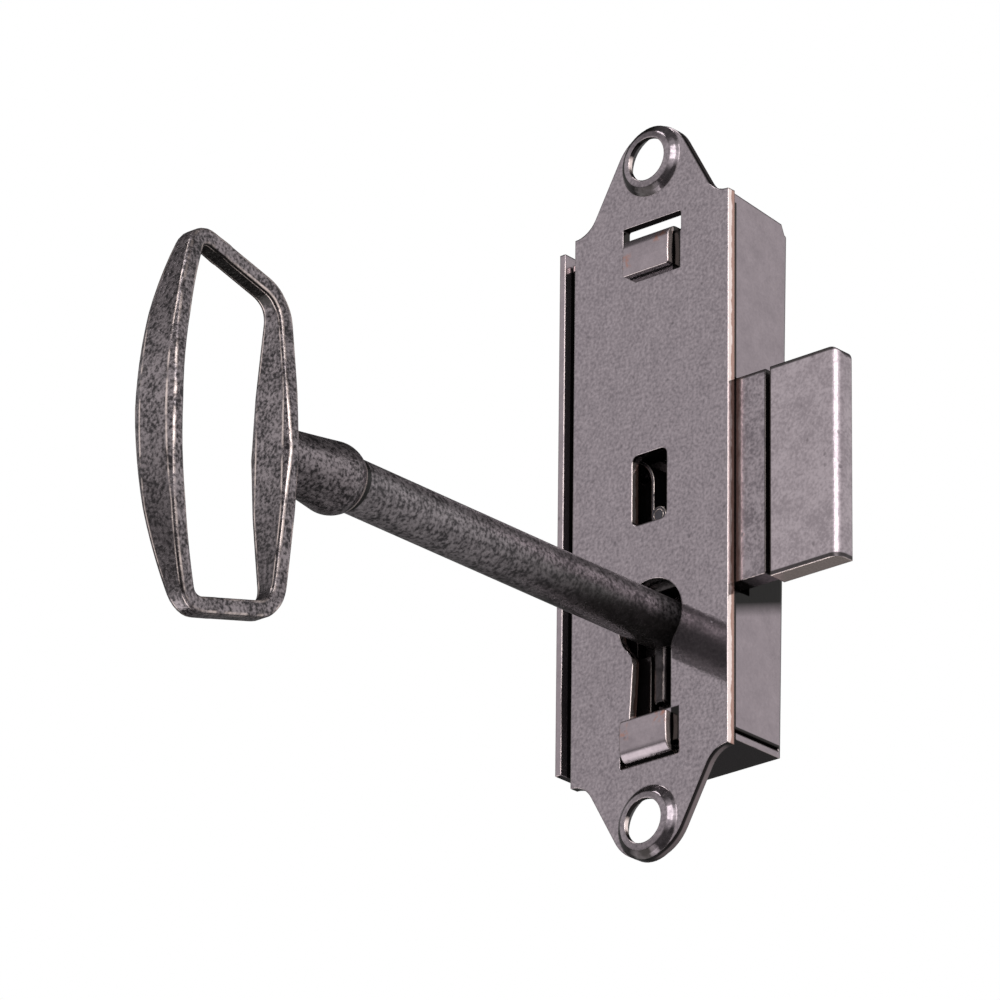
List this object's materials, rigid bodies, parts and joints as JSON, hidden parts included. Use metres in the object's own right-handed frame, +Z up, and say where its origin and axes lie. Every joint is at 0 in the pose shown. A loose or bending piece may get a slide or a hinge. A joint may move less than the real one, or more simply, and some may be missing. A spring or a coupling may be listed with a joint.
{
  "type": "clock case lock",
  "caption": "Small folded steel clock case lock with an eared front plate, a sliding bolt, and a hollow key with a loop bow standing in its keyhole.",
  "frame": {"origin": "on the key side of the front plate, midway between the centres of the two screw holes", "axes": "+X across the lock towards the bolt side, +Y along the key into the door, +Z up along the lock"},
  "size_m": [0.0297, 0.0684, 0.0664],
  "materials": {
    "plate_steel": "stamped sheet steel with a dull plated skin, tarnished and lightly pitted",
    "case_steel": "folded sheet steel with a dull plated skin",
    "stud_steel": "turned steel, riveted over",
    "spring_steel": "hardened spring strip",
    "bolt_steel": "plated steel, satin",
    "key_casting": "cast metal with a worn, mottled plated skin",
    "key_steel": "drawn steel, satin"
  },
  "bodies": {
    "case": {"front_plate": "plate_steel", "case_shell": "case_steel", "guide_studs": "stud_steel", "drill_pin": "stud_steel", "spring_post": "stud_steel", "friction_spring": "spring_steel"},
    "bolt": {"bolt_tail": "bolt_steel", "bolt_head": "bolt_steel", "bolt_rivets": "stud_steel"},
    "key": {"key_bow": "key_casting", "key_shaft": "key_steel", "key_bit": "key_steel"}
  },
  "joints": [
    {"name": "key_turn", "type": "hinge", "parent": "case", "child": "key", "pos_m": [0, 0, -0.01185], "axis": [0, 1, 0], "range_deg": [0, 40]},
    {"name": "bolt_slide", "type": "slide", "parent": "case", "child": "bolt", "axis": [-1, 0, 0], "range_m": [0, 0.004]}
  ],
  "couplings": [
    {"joint": "bolt_slide", "follows": "key_turn", "m_per_rad": 0.0057296}
  ]
}
